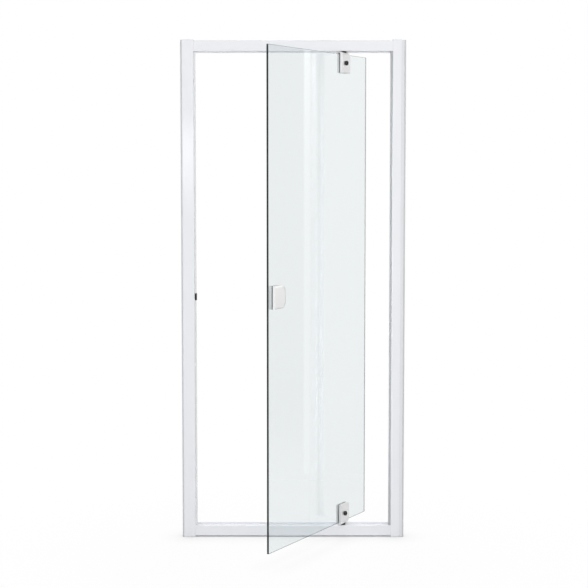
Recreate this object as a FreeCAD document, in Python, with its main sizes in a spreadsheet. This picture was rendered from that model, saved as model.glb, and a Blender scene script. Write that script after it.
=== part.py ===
"""A framed shower door: a white frame that stands between two walls, and a pane of glass on two pivots.

Millimetres. X runs along the frame from the strike post to the hinge jamb, Y goes into the shower and
Z is up. The origin is the middle of the sill's underside, and Y is zero in the plane of the closed glass.
The door stands open at rest.
"""

import FreeCAD
import Part
import Sketcher
import os

# Driving sizes

SIZES = {
    # whole frame
    "frame_width": 895.0,
    "frame_height": 2000.0,
    "frame_depth": 40.0,
    "frame_wall": 1.8,
    "frame_edge_radius": 2.0,
    "jamb_stand": 4.0,
    # uprights
    "strike_post_width": 52.5,
    "hinge_jamb_width": 35.5,
    "wall_edge_radius": 2.5,
    "jamb_tip_radius": 1.2,
    "lip_reach": 5.5,
    "lip_thickness": 4.0,
    # rails
    "rail_depth": 38.0,
    "rail_height": 42.0,
    "port_diameter": 7.0,
    "port_inset": 5.0,
    # wall channel
    "channel_show": 17.0,
    "channel_flange": 38.0,
    "channel_wall": 1.6,
    "channel_edge_radius": 2.5,
    "channel_clearance": 0.3,
    "channel_travel_in": 7.0,
    "channel_travel_out": 8.0,
    "slot_spare": 0.4,
    # strips between the uprights and the walls
    "wall_strip_thickness": 5.0,
    "wall_strip_inset": 1.0,
    "wall_strip_radius": 1.5,
    # top caps of the uprights
    "cap_thickness": 2.0,
    "cap_plug_depth": 8.0,
    "cap_clearance": 0.2,
    # small screws of the frame
    "screw_diameter": 4.2,
    "screw_head_diameter": 8.0,
    "screw_head_height": 2.6,
    "screw_clearance": 0.1,
    "corner_screw_length": 25.0,
    "driver_hole_diameter": 9.0,
    "fixing_screw_length": 6.5,
    "fixing_margin": 296.0,
    "fixing_setback": 8.5,
    "screw_cap_diameter": 12.0,
    "screw_cap_height": 4.2,
    "screw_cap_clearance": 0.3,
    # holes for the wall fixings
    "wall_hole_diameter": 5.5,
    "wall_hole_margin": 146.0,
    "inner_hole_share": 0.35,
    "strike_hole_setback": 8.0,
    "plug_hole_diameter": 12.0,
    "plug_head_diameter": 14.0,
    "plug_head_thickness": 1.2,
    "plug_depth": 5.0,
    "plug_clearance": 0.15,
    # pane of glass
    "glass_thickness": 8.0,
    "glass_arris": 0.6,
    "near_gap": 3.0,
    "far_gap": 8.0,
    "top_gap": 13.5,
    "bottom_gap": 15.5,
    "pivot_setback": 192.0,
    "open_angle": 60.0,
    # hinge plates and gaskets
    "plate_near": 43.5,
    "plate_far": 27.5,
    "plate_height": 80.0,
    "plate_past_glass": 6.0,
    "outer_plate_thickness": 9.5,
    "inner_plate_thickness": 8.0,
    "plate_bevel": 2.0,
    "plate_bevel_width": 3.0,
    "plate_near_bevel": 0.8,
    "plate_outer_corner_radius": 15.0,
    "plate_inner_corner_radius": 8.0,
    "gasket_thickness": 1.0,
    "gasket_inset": 0.8,
    # hinge core and pivot
    "notch_near": 22.0,
    "notch_far": 13.0,
    "notch_depth": 50.0,
    "core_clearance": 0.3,
    "pin_diameter": 10.0,
    "pin_shank_diameter": 6.0,
    "pin_shank_depth": 25.0,
    "pin_top_spare": 2.0,
    "washer_diameter": 18.0,
    "washer_thickness": 3.5,
    "bush_diameter": 14.0,
    "bush_flange_diameter": 18.0,
    "bush_depth": 26.0,
    "running_clearance": 0.05,
    "thrust_clearance": 0.1,
    "block_length": 60.0,
    "block_depth": 20.0,
    "block_clearance": 0.2,
    # clamping screws of the hinges and the pull
    "clamp_screw_diameter": 6.0,
    "clamp_screw_head_diameter": 16.0,
    "clamp_screw_head_height": 4.0,
    "clamp_screw_reach": 5.0,
    "clamp_screw_tip_room": 0.5,
    "clamp_screw_socket": 9.0,
    "clamp_screw_socket_depth": 2.5,
    "hinge_screw_offset": 10.0,
    "hinge_screw_head_diameter": 18.0,
    "hinge_screw_head_height": 7.5,
    "hinge_screw_sink": 2.0,
    "counterbore_clearance": 1.0,
    # pull
    "pull_setback": 29.5,
    "pull_length": 80.5,
    "pull_height": 87.0,
    "pull_corner_radius": 28.0,
    "outer_pull_thickness": 9.5,
    "inner_pull_thickness": 13.5,
    "pull_bevel": 2.0,
    "pull_bevel_width": 7.0,
    "pull_centre_height": 1011.0,
    "pull_hole_diameter": 14.0,
    "sleeve_clearance": 0.3,
    # seals and buffer
    "seal_clearance": 0.3,
    "seal_depth": 7.7,
    "strike_seal_chamfer": 2.0,
    "hinge_seal_reach": 9.0,
    "buffer_reach": 7.5,
    "buffer_height": 28.0,
    "buffer_centre_height": 971.0,
    "buffer_radius": 1.5,
    # how far a cut runs past the wall that it opens
    "overrun": 2.0,
}

# Places and sizes that follow from the driving sizes

PLACES = {
    # frame, seen from the front
    "half_width": "Sizes.frame_width / 2",
    "strike_back": "Sizes.wall_strip_thickness - half_width",
    "strike_face": "Sizes.strike_post_width - half_width",
    "channel_back": "half_width - Sizes.wall_strip_thickness",
    "jamb_edge": "half_width - Sizes.channel_show",
    "hinge_face": "jamb_edge - Sizes.hinge_jamb_width",
    "opening_width": "hinge_face - strike_face",
    "foot": "-Sizes.jamb_stand",
    "jamb_top": "Sizes.frame_height - Sizes.jamb_stand - Sizes.cap_thickness",
    "jamb_length": "jamb_top - foot",
    "head_top": "Sizes.frame_height - 2 * Sizes.jamb_stand",
    "head_under": "head_top - Sizes.rail_height",
    "head_middle": "head_top - Sizes.rail_height / 2",
    "sill_middle": "Sizes.rail_height / 2",
    "mid_height": "head_top / 2",
    "side_length": "head_under - Sizes.rail_height",
    "side_lip_low": "Sizes.rail_height + Sizes.lip_reach",
    "side_lip_length": "side_length - 2 * Sizes.lip_reach",
    # frame, seen from above
    "depth_half": "Sizes.frame_depth / 2",
    "rail_half": "Sizes.rail_depth / 2",
    "glass_half": "Sizes.glass_thickness / 2",
    "wall_bend_radius": "Sizes.wall_edge_radius - Sizes.frame_wall",
    "channel_bend_radius": "Sizes.channel_edge_radius - Sizes.channel_wall",
    "seal_face": "glass_half + Sizes.seal_clearance",
    "lip_front": "seal_face + Sizes.seal_depth",
    "lip_back": "lip_front + Sizes.lip_thickness",
    "channel_half": "depth_half - Sizes.frame_wall - Sizes.channel_clearance",
    "channel_tip": "half_width - Sizes.channel_flange",
    "strike_strip_half": "depth_half - Sizes.wall_strip_inset",
    "hinge_strip_half": "channel_half - Sizes.wall_strip_inset",
    "channel_length": "jamb_length - Sizes.channel_clearance",
    "cap_plug_half": "channel_half - Sizes.channel_wall - Sizes.channel_clearance",
    "port_offset": "rail_half - Sizes.port_inset",
    # small screws and wall fixings
    "screw_hole_diameter": "Sizes.screw_diameter + 2 * Sizes.screw_clearance",
    "outer_hole_offset": "mid_height - Sizes.wall_hole_margin",
    "inner_hole_offset": "outer_hole_offset * Sizes.inner_hole_share",
    "fixing_offset": "mid_height - Sizes.fixing_margin",
    "wall_cut": "Sizes.frame_wall + Sizes.overrun",
    "channel_cut": "Sizes.channel_wall + Sizes.overrun",
    "strip_cut": "Sizes.wall_strip_thickness + Sizes.overrun",
    "fixing_place": "jamb_edge - Sizes.fixing_setback",
    "slot_half_height": "screw_hole_diameter / 2",
    "slot_near": "fixing_place - Sizes.channel_travel_out - Sizes.slot_spare - screw_hole_diameter / 2",
    "slot_far": "fixing_place + Sizes.channel_travel_in + Sizes.slot_spare + screw_hole_diameter / 2",
    "screw_cap_bore": "Sizes.screw_head_diameter + 2 * Sizes.screw_cap_clearance",
    "screw_cap_room": "Sizes.screw_head_height + Sizes.screw_cap_clearance",
    "plug_stem_diameter": "Sizes.plug_hole_diameter - 2 * Sizes.plug_clearance",
    # door, measured from the pivot
    "pivot_place": "hinge_face - Sizes.pivot_setback",
    "near_edge": "strike_face + Sizes.near_gap - pivot_place",
    "far_edge": "hinge_face - Sizes.far_gap - pivot_place",
    "glass_top": "head_under - Sizes.top_gap",
    "glass_bottom": "Sizes.rail_height + Sizes.bottom_gap",
    "core_near": "Sizes.notch_near - Sizes.core_clearance",
    "core_far": "Sizes.notch_far - Sizes.core_clearance",
    "core_end": "Sizes.notch_depth - Sizes.core_clearance",
    "plate_back": "glass_half + Sizes.gasket_thickness",
    "plate_face": "plate_back + Sizes.outer_plate_thickness",
    "inner_plate_face": "plate_back + Sizes.inner_plate_thickness",
    "core_thickness": "2 * plate_back",
    "plate_reach": "Sizes.plate_height - Sizes.plate_past_glass",
    "plate_screw_drop": "Sizes.plate_height / 2 - Sizes.plate_past_glass",
    "clamp_hole_diameter": "Sizes.clamp_screw_diameter + 2 * Sizes.screw_clearance",
    "counterbore_diameter": "Sizes.clamp_screw_head_diameter + 2 * Sizes.counterbore_clearance",
    "hinge_counterbore_diameter": "Sizes.hinge_screw_head_diameter + 2 * Sizes.counterbore_clearance",
    "hinge_screw_seat": "plate_face - Sizes.hinge_screw_sink",
    "gasket_corner": "Sizes.plate_outer_corner_radius / 2",
    "clamp_screw_tip": "plate_back + Sizes.clamp_screw_reach",
    "tip_hole_depth": "Sizes.clamp_screw_reach + Sizes.clamp_screw_tip_room",
    "plate_cut": "Sizes.outer_plate_thickness + Sizes.overrun",
    "hinge_screw_length": "hinge_screw_seat + clamp_screw_tip",
    # pivot in the rails
    "bush_bore": "Sizes.pin_diameter + 2 * Sizes.running_clearance",
    "washer_bore": "Sizes.pin_diameter + 2 * Sizes.running_clearance",
    "pin_hole_diameter": "Sizes.pin_shank_diameter + 2 * Sizes.running_clearance",
    "bush_hole_diameter": "Sizes.bush_diameter + 2 * Sizes.running_clearance",
    "pivot_stack": "Sizes.plate_past_glass + Sizes.washer_thickness + Sizes.thrust_clearance",
    "top_flange": "Sizes.top_gap - pivot_stack",
    "bottom_flange": "Sizes.bottom_gap - pivot_stack",
    "pin_beyond_gap": "Sizes.bush_depth - Sizes.plate_past_glass - Sizes.pin_top_spare",
    "top_pin_length": "Sizes.top_gap + pin_beyond_gap",
    "bottom_pin_length": "Sizes.bottom_gap + pin_beyond_gap",
    "block_half_length": "Sizes.block_length / 2",
    "block_half_depth": "Sizes.block_depth / 2",
    "block_height": "Sizes.rail_height - 2 * Sizes.frame_wall - Sizes.block_clearance",
    # pull, measured from the pivot
    "pull_near": "near_edge + Sizes.pull_setback",
    "pull_far": "pull_near + Sizes.pull_length",
    "pull_middle": "pull_near + Sizes.pull_length / 2",
    "pull_top": "Sizes.pull_centre_height + Sizes.pull_height / 2",
    "pull_bottom": "Sizes.pull_centre_height - Sizes.pull_height / 2",
    "pull_face": "plate_back + Sizes.outer_pull_thickness",
    "inner_pull_face": "plate_back + Sizes.inner_pull_thickness",
    "pull_screw_seat": "inner_pull_face - Sizes.clamp_screw_head_height",
    "pull_cut": "Sizes.inner_pull_thickness + Sizes.overrun",
    "pull_screw_length": "pull_screw_seat + clamp_screw_tip",
    "sleeve_diameter": "Sizes.pull_hole_diameter - 2 * Sizes.sleeve_clearance",
    # buffer and the seal beside it
    "buffer_top": "Sizes.buffer_centre_height + Sizes.buffer_height / 2",
    "buffer_bottom": "Sizes.buffer_centre_height - Sizes.buffer_height / 2",
    "upper_seal_length": "head_under - buffer_top",
    "lower_seal_length": "buffer_bottom - Sizes.rail_height",
}

doc = FreeCAD.newDocument("ShowerDoor")


def fill_sheet(name, cells):
    """A sheet with one named cell for each entry."""
    made = doc.addObject("Spreadsheet::Sheet", name)
    for row, (alias, content) in enumerate(cells.items(), start=1):
        made.set(f"A{row}", alias)
        made.set(f"B{row}", content)
        made.setAlias(f"B{row}", alias)
    return made


sizes = fill_sheet("Sizes", {name: str(size) for name, size in SIZES.items()})
places = fill_sheet("Places", {name: f"={rule}" for name, rule in PLACES.items()})
doc.recompute()

# Sums of named sizes
# A sum is words with signs between them, such as "glass_top + plate_past_glass".

SIGNS = {"+": 1, "-": -1}


def link(total):
    """The expression that ties a property to a sum of named sizes."""
    words = []
    for word in total.split():
        sheet = "Sizes." if word in SIZES else "Places." if word in PLACES else ""
        words.append(sheet + word)
    return " ".join(words)


def number(total):
    """What a sum of named sizes comes to."""
    result = 0.0
    sign = 1
    for word in total.split():
        if word in SIGNS:
            sign = SIGNS[word]
        elif word in SIZES:
            result += sign * sizes.get(word)
        elif word in PLACES:
            result += sign * places.get(word)
    return result


def minus(total):
    """The same sum with every sign turned round."""
    swap = {"+": "-", "-": "+"}
    words = [swap.get(word, word) for word in total.split()]
    return " ".join(words if words[0] in SIGNS else ["-"] + words)


# Sketches and features

pieces = []


def piece(made, label):
    """Marks an object as a finished sub-part with its own name."""
    made.Label = label
    pieces.append(made)
    return made


def body(label):
    return piece(doc.addObject("PartDesign::Body", label), label)


def sketch(owner, plane, offset="0"):
    """An empty sketch on one of the body's own planes, moved along that plane's normal."""
    base = next(feature for feature in owner.Origin.OriginFeatures if feature.Role == plane)
    made = owner.newObject("Sketcher::SketchObject", f"{owner.Name}_sketch")
    made.AttachmentSupport = [(base, "")]
    made.MapMode = "FlatFace"
    made.setExpression("AttachmentOffset.Base.z", link(offset))
    return made


def tie(drawing, kind, total, *where):
    """One dimension of a sketch, tied to a sum of named sizes."""
    index = drawing.addConstraint(Sketcher.Constraint(kind, *where, number(total)))
    drawing.setExpression(f"Constraints[{index}]", link(total))


def outline(drawing, corners):
    """A closed outline of straight lines; each corner is a pair of sums."""
    first = drawing.GeometryCount
    count = len(corners)
    points = [FreeCAD.Vector(number(across), number(up)) for across, up in corners]
    for index in range(count):
        line = Part.LineSegment(points[index], points[(index + 1) % count])
        drawing.addGeometry(line, False)
    for index, (across, up) in enumerate(corners):
        follower = first + (index + 1) % count
        drawing.addConstraint(Sketcher.Constraint("Coincident", first + index, 2, follower, 1))
        tie(drawing, "DistanceX", across, -1, 1, first + index, 1)
        tie(drawing, "DistanceY", up, -1, 1, first + index, 1)


def rectangle(drawing, left, right, low, high):
    outline(drawing, [(left, low), (right, low), (right, high), (left, high)])


def circle(drawing, across, up, diameter):
    centre = FreeCAD.Vector(number(across), number(up))
    index = drawing.addGeometry(Part.Circle(centre, FreeCAD.Vector(0, 0, 1), number(diameter) / 2), False)
    tie(drawing, "DistanceX", across, -1, 1, index, 3)
    tie(drawing, "DistanceY", up, -1, 1, index, 3)
    tie(drawing, "Diameter", diameter, index)


def pad(owner, drawing, length, backwards=False, middle=False):
    made = owner.newObject("PartDesign::Pad", f"{owner.Name}_pad")
    made.Profile = drawing
    made.setExpression("Length", link(length))
    made.Reversed = backwards
    made.SideType = "Symmetric" if middle else "One side"
    doc.recompute()
    return made


def pocket(owner, drawing, depth, along_normal=False):
    """A cut from the sketch; it has to take something away."""
    before = owner.Shape.Volume
    made = owner.newObject("PartDesign::Pocket", f"{owner.Name}_pocket")
    made.Profile = drawing
    made.setExpression("Length", link(depth))
    made.Reversed = along_normal
    doc.recompute()
    if not owner.Shape.Volume < before:
        raise RuntimeError(f"{owner.Label}: a pocket cuts nothing")
    return made


def lies_at(edge, **where):
    """True for an edge whose points all share the given coordinates."""
    box = edge.BoundBox
    near = number("running_clearance")
    for axis, total in where.items():
        low = getattr(box, axis.upper() + "Min")
        high = getattr(box, axis.upper() + "Max")
        if max(abs(low - number(total)), abs(high - number(total))) > near:
            return False
    return True


def dress(owner, kind, size, *corners):
    """A fillet or chamfer on every edge that lies at one of the corners."""
    base = owner.Tip
    chosen = []
    for index, edge in enumerate(base.Shape.Edges, start=1):
        if any(lies_at(edge, **corner) for corner in corners):
            chosen.append(f"Edge{index}")
    made = owner.newObject(f"PartDesign::{kind}", f"{owner.Name}_{kind.lower()}")
    made.Base = (base, chosen)
    made.setExpression("Radius" if kind == "Fillet" else "Size", link(size))
    doc.recompute()
    return made


# Solids of one simple form, and what they are joined into

TURNS = {
    "Z": FreeCAD.Rotation(FreeCAD.Vector(0, 0, 1), 0),
    "X": FreeCAD.Rotation(FreeCAD.Vector(0, 1, 0), 90),
    "Y": FreeCAD.Rotation(FreeCAD.Vector(1, 0, 0), -90),
}


def place(made, start, along):
    made.Placement = FreeCAD.Placement(FreeCAD.Vector(0, 0, 0), TURNS[along])
    for axis, total in zip("xyz", start):
        made.setExpression(f"Placement.Base.{axis}", link(total))
    return made


def rod(diameter, length, start, along="Z"):
    """A cylinder that begins at start and runs along an axis."""
    made = doc.addObject("Part::Cylinder", "Rod")
    made.setExpression("Radius", f"({link(diameter)}) / 2")
    made.setExpression("Height", link(length))
    return place(made, start, along)


def hexagon(across_corners, length, start, along):
    made = doc.addObject("Part::Prism", "Hexagon")
    made.Polygon = 6
    made.setExpression("Circumradius", f"({link(across_corners)}) / 2")
    made.setExpression("Height", link(length))
    return place(made, start, along)


def joined(*parts):
    made = doc.addObject("Part::MultiFuse", "Joined")
    made.Shapes = list(parts)
    return made


def less(base, tool):
    made = doc.addObject("Part::Cut", "Less")
    made.Base = base
    made.Tool = tool
    return made


def group(parts):
    made = doc.addObject("Part::Compound", "Group")
    made.Links = list(parts)
    return made


def hang(made):
    """Turns a sub-part of the door about the pivot to where the door stands at rest."""
    made.setExpression("Placement.Base.x", link("pivot_place"))
    made.setExpression("Placement.Rotation.Angle", link("open_angle"))
    return made


# Uprights
# Each is an extrusion with a stop lip on its opening side, behind the closed glass.

WALL_HOLE_HEIGHTS = [
    "mid_height - outer_hole_offset",
    "mid_height - inner_hole_offset",
    "mid_height + inner_hole_offset",
    "mid_height + outer_hole_offset",
]
FIXING_HEIGHTS = ["mid_height - fixing_offset", "mid_height", "mid_height + fixing_offset"]
PORT_SIDES = ["port_offset", "- port_offset"]


def corner_screw_circles(drawing, diameter):
    for side in PORT_SIDES:
        circle(drawing, side, "sill_middle", diameter)
        circle(drawing, side, "head_middle", diameter)


def stop_lip(upright, face, tip):
    """The lip behind the closed glass, between the lips of the two rails."""
    section = sketch(upright, "XY_Plane", "side_lip_low")
    rectangle(section, *sorted((face, tip), key=number), "lip_front", "lip_back")
    pad(upright, section, "side_lip_length")


def make_strike_post():
    post = body("strike_post")
    profile = sketch(post, "XY_Plane", "foot")
    rectangle(profile, "strike_back", "strike_face", "- depth_half", "depth_half")
    rectangle(
        profile,
        "strike_back + frame_wall",
        "strike_face - frame_wall",
        "frame_wall - depth_half",
        "depth_half - frame_wall",
    )
    pad(post, profile, "jamb_length")
    wall_corners = [{"x": "strike_back", "y": side} for side in ("depth_half", "- depth_half")]
    dress(post, "Fillet", "wall_edge_radius", *wall_corners)
    bend_sides = ("depth_half - frame_wall", "frame_wall - depth_half")
    bends = [{"x": "strike_back + frame_wall", "y": side} for side in bend_sides]
    dress(post, "Fillet", "wall_bend_radius", *bends)
    room_corners = [{"x": "strike_face", "y": side} for side in ("depth_half", "- depth_half")]
    dress(post, "Fillet", "frame_edge_radius", *room_corners)
    stop_lip(post, "strike_face", "strike_face + lip_reach")
    wall_side = sketch(post, "YZ_Plane", "strike_back")
    for height in WALL_HOLE_HEIGHTS:
        circle(wall_side, "- strike_hole_setback", height, "wall_hole_diameter")
    corner_screw_circles(wall_side, "driver_hole_diameter")
    pocket(post, wall_side, "wall_cut", along_normal=True)
    opening_side = sketch(post, "YZ_Plane", "strike_face")
    for height in WALL_HOLE_HEIGHTS:
        circle(opening_side, "- strike_hole_setback", height, "plug_hole_diameter")
    corner_screw_circles(opening_side, "screw_hole_diameter")
    pocket(post, opening_side, "wall_cut")


def make_hinge_jamb():
    jamb = body("hinge_jamb")
    profile = sketch(jamb, "XY_Plane", "foot")
    outline(
        profile,
        [
            ("hinge_face", "- depth_half"),
            ("jamb_edge", "- depth_half"),
            ("jamb_edge", "frame_wall - depth_half"),
            ("hinge_face + frame_wall", "frame_wall - depth_half"),
            ("hinge_face + frame_wall", "depth_half - frame_wall"),
            ("jamb_edge", "depth_half - frame_wall"),
            ("jamb_edge", "depth_half"),
            ("hinge_face", "depth_half"),
        ],
    )
    pad(jamb, profile, "jamb_length")
    room_corners = [{"x": "hinge_face", "y": side} for side in ("depth_half", "- depth_half")]
    dress(jamb, "Fillet", "frame_edge_radius", *room_corners)
    tips = [{"x": "jamb_edge", "y": side} for side in ("depth_half", "- depth_half")]
    dress(jamb, "Fillet", "jamb_tip_radius", *tips)
    stop_lip(jamb, "hinge_face", "hinge_face - lip_reach")
    web = sketch(jamb, "YZ_Plane", "hinge_face")
    corner_screw_circles(web, "screw_hole_diameter")
    pocket(jamb, web, "wall_cut", along_normal=True)
    back = sketch(jamb, "XZ_Plane", "- depth_half")
    for height in FIXING_HEIGHTS:
        circle(back, "fixing_place", height, "screw_hole_diameter")
    pocket(jamb, back, "wall_cut", along_normal=True)


def make_wall_channel():
    channel = body("hinge_wall_channel")
    profile = sketch(channel, "XY_Plane", "foot")
    outline(
        profile,
        [
            ("channel_tip", "- channel_half"),
            ("channel_back", "- channel_half"),
            ("channel_back", "channel_half"),
            ("channel_tip", "channel_half"),
            ("channel_tip", "channel_half - channel_wall"),
            ("channel_back - channel_wall", "channel_half - channel_wall"),
            ("channel_back - channel_wall", "channel_wall - channel_half"),
            ("channel_tip", "channel_wall - channel_half"),
        ],
    )
    pad(channel, profile, "channel_length")
    wall_corners = [{"x": "channel_back", "y": side} for side in ("channel_half", "- channel_half")]
    dress(channel, "Fillet", "channel_edge_radius", *wall_corners)
    bend_sides = ("channel_half - channel_wall", "channel_wall - channel_half")
    bends = [{"x": "channel_back - channel_wall", "y": side} for side in bend_sides]
    dress(channel, "Fillet", "channel_bend_radius", *bends)
    web = sketch(channel, "YZ_Plane", "channel_back")
    for height in WALL_HOLE_HEIGHTS:
        circle(web, "0", height, "wall_hole_diameter")
    pocket(channel, web, "channel_cut")
    back = sketch(channel, "XZ_Plane", "- channel_half")
    for height in FIXING_HEIGHTS:
        low = f"{height} - slot_half_height"
        rectangle(back, "slot_near", "slot_far", low, f"{height} + slot_half_height")
    pocket(channel, back, "channel_cut", along_normal=True)


def make_wall_strip(label, wall, back, half_depth, length, across):
    """A soft strip that closes the joint between an upright and its wall; the wall screws pass through it."""
    strip = body(label)
    section = sketch(strip, "XY_Plane", "foot")
    rectangle(section, *sorted((wall, back), key=number), f"- {half_depth}", half_depth)
    pad(strip, section, length)
    corners = [{"x": wall, "y": side} for side in (half_depth, f"- {half_depth}")]
    dress(strip, "Fillet", "wall_strip_radius", *corners)
    holes = sketch(strip, "YZ_Plane", wall)
    for height in WALL_HOLE_HEIGHTS:
        circle(holes, across, height, "wall_hole_diameter")
    pocket(strip, holes, "strip_cut", along_normal=number(wall) < number(back))


make_strike_post()
make_hinge_jamb()
make_wall_channel()
make_wall_strip(
    "strike_wall_strip",
    "- half_width",
    "strike_back",
    "strike_strip_half",
    "jamb_length",
    "- strike_hole_setback",
)
make_wall_strip(
    "hinge_wall_strip",
    "half_width",
    "channel_back",
    "hinge_strip_half",
    "channel_length",
    "0",
)

# Rails
# Hollow extrusions between the uprights, with a stop lip, two screw ports and a hole for the pivot bush.


def make_rail(label, inner, outer, inwards, outwards):
    """A rail whose face towards the opening is at inner; inwards is the sign towards the opening."""
    rail = body(label)
    profile = sketch(rail, "YZ_Plane", "strike_face")
    lip_tip = f"{inner} {inwards} lip_reach"
    outline(
        profile,
        [
            ("- rail_half", inner),
            ("lip_front", inner),
            ("lip_front", lip_tip),
            ("lip_back", lip_tip),
            ("lip_back", inner),
            ("rail_half", inner),
            ("rail_half", outer),
            ("- rail_half", outer),
        ],
    )
    rectangle(
        profile,
        "frame_wall - rail_half",
        "rail_half - frame_wall",
        f"{inner} {outwards} frame_wall",
        f"{outer} {inwards} frame_wall",
    )
    pad(rail, profile, "opening_width")
    corners = [{"y": side, "z": face} for side in ("rail_half", "- rail_half") for face in (inner, outer)]
    dress(rail, "Fillet", "frame_edge_radius", *corners)
    middle = "head_middle" if label == "head_rail" else "sill_middle"
    ports = sketch(rail, "YZ_Plane", "strike_face")
    bores = sketch(rail, "YZ_Plane", "strike_face")
    for side in PORT_SIDES:
        circle(ports, side, middle, "port_diameter")
        circle(bores, side, middle, "screw_hole_diameter")
    pad(rail, ports, "opening_width")
    pocket(rail, bores, "opening_width", along_normal=True)
    bush_hole = sketch(rail, "XY_Plane", inner)
    circle(bush_hole, "pivot_place", "0", "bush_hole_diameter")
    pocket(rail, bush_hole, "wall_cut", along_normal=outwards == "+")


make_rail("head_rail", "head_under", "head_top", "-", "+")
make_rail("sill_rail", "rail_height", "0", "+", "-")

# Top caps of the uprights


def make_cap(label, left, right, radii, plug, plug_corners=()):
    """A plate on top of an upright, with a plug that drops into it and follows the bends at its corners."""
    cap = body(label)
    plate = sketch(cap, "XY_Plane", "jamb_top")
    rectangle(plate, left, right, "- depth_half", "depth_half")
    pad(cap, plate, "cap_thickness")
    for radius, side in radii:
        dress(cap, "Fillet", radius, {"x": side, "y": "depth_half"}, {"x": side, "y": "- depth_half"})
    inside = sketch(cap, "XY_Plane", "jamb_top")
    rectangle(inside, *plug)
    pad(cap, inside, "cap_plug_depth", backwards=True)
    if plug_corners:
        dress(cap, "Fillet", "wall_bend_radius", *plug_corners)


plug_wall_side = "strike_back + frame_wall + cap_clearance"
plug_front = "frame_wall + cap_clearance - depth_half"
plug_back = "depth_half - frame_wall - cap_clearance"
make_cap(
    "strike_post_cap",
    "strike_back",
    "strike_face",
    [("wall_edge_radius", "strike_back"), ("frame_edge_radius", "strike_face")],
    [plug_wall_side, "strike_face - frame_wall - cap_clearance", plug_front, plug_back],
    [{"x": plug_wall_side, "y": side} for side in (plug_front, plug_back)],
)
make_cap(
    "hinge_jamb_cap",
    "hinge_face",
    "jamb_edge",
    [("frame_edge_radius", "hinge_face"), ("jamb_tip_radius", "jamb_edge")],
    [
        "hinge_face + frame_wall + cap_clearance",
        "jamb_edge - cap_clearance",
        "- cap_plug_half",
        "cap_plug_half",
    ],
)

# Screws, caps and plugs of the frame


def corner_screw(wall, towards, side, height):
    """A screw whose head bears on the inside of an upright's wall and whose shank fills a screw port."""
    head_start = f"{wall} - screw_head_height" if towards == "+" else wall
    shank_start = wall if towards == "+" else f"{wall} - corner_screw_length"
    head = rod("screw_head_diameter", "screw_head_height", (head_start, side, height), "X")
    shank = rod("screw_diameter", "corner_screw_length", (shank_start, side, height), "X")
    return joined(head, shank)


for rail_name in ("head", "sill"):
    screws = []
    for side in PORT_SIDES:
        screws.append(corner_screw("strike_face - frame_wall", "+", side, f"{rail_name}_middle"))
        screws.append(corner_screw("hinge_face + frame_wall", "-", side, f"{rail_name}_middle"))
    piece(group(screws), f"{rail_name}_corner_screws")

fixing_screws = []
screw_caps = []
for height in FIXING_HEIGHTS:
    tip = ("fixing_place", "depth_half - fixing_screw_length", height)
    seat = ("fixing_place", "depth_half", height)
    shank = rod("screw_diameter", "fixing_screw_length", tip, "Y")
    head = rod("screw_head_diameter", "screw_head_height", seat, "Y")
    fixing_screws.append(joined(head, shank))
    dome = rod("screw_cap_diameter", "screw_cap_height", seat, "Y")
    screw_caps.append(less(dome, rod("screw_cap_bore", "screw_cap_room", seat, "Y")))
piece(group(fixing_screws), "jamb_fixing_screws")
piece(group(screw_caps), "fixing_screw_caps")

plugs = []
for height in WALL_HOLE_HEIGHTS:
    seat = ("strike_face", "- strike_hole_setback", height)
    inside = ("strike_face - plug_depth", "- strike_hole_setback", height)
    head = rod("plug_head_diameter", "plug_head_thickness", seat, "X")
    stem = rod("plug_stem_diameter", "plug_depth", inside, "X")
    plugs.append(joined(head, stem))
piece(group(plugs), "strike_post_plugs")

# Seals and buffer


def make_strike_seal(label, low, length):
    """A strip in front of the strike post's lip, with a slanted edge towards the opening."""
    seal = body(label)
    profile = sketch(seal, "XY_Plane", low)
    outline(
        profile,
        [
            ("strike_face", "seal_face"),
            ("strike_face + lip_reach - strike_seal_chamfer", "seal_face"),
            ("strike_face + lip_reach", "seal_face + strike_seal_chamfer"),
            ("strike_face + lip_reach", "lip_front"),
            ("strike_face", "lip_front"),
        ],
    )
    pad(seal, profile, length)


def make_strip(label, left, right, front, back, low, length, radius, rounded):
    """An upright strip, rounded along the edges that are named."""
    strip = body(label)
    profile = sketch(strip, "XY_Plane", low)
    rectangle(profile, left, right, front, back)
    pad(strip, profile, length)
    dress(strip, "Fillet", radius, *rounded)


make_strike_seal("strike_seal_upper", "buffer_top", "upper_seal_length")
make_strike_seal("strike_seal_lower", "rail_height", "lower_seal_length")
make_strip(
    "strike_buffer",
    "strike_face",
    "strike_face + buffer_reach",
    "seal_face",
    "lip_front",
    "buffer_bottom",
    "buffer_height",
    "buffer_radius",
    [{"x": "strike_face + buffer_reach"}],
)
make_strip(
    "hinge_side_seal",
    "hinge_face - hinge_seal_reach",
    "hinge_face",
    "- lip_front",
    "- seal_face",
    "rail_height",
    "side_length",
    "strike_seal_chamfer",
    [{"x": "hinge_face - hinge_seal_reach", "y": "- lip_front"}],
)

# Pane of glass
# The door's own sub-parts are drawn closed, with the pivot on the Z axis, and then turned.


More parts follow.
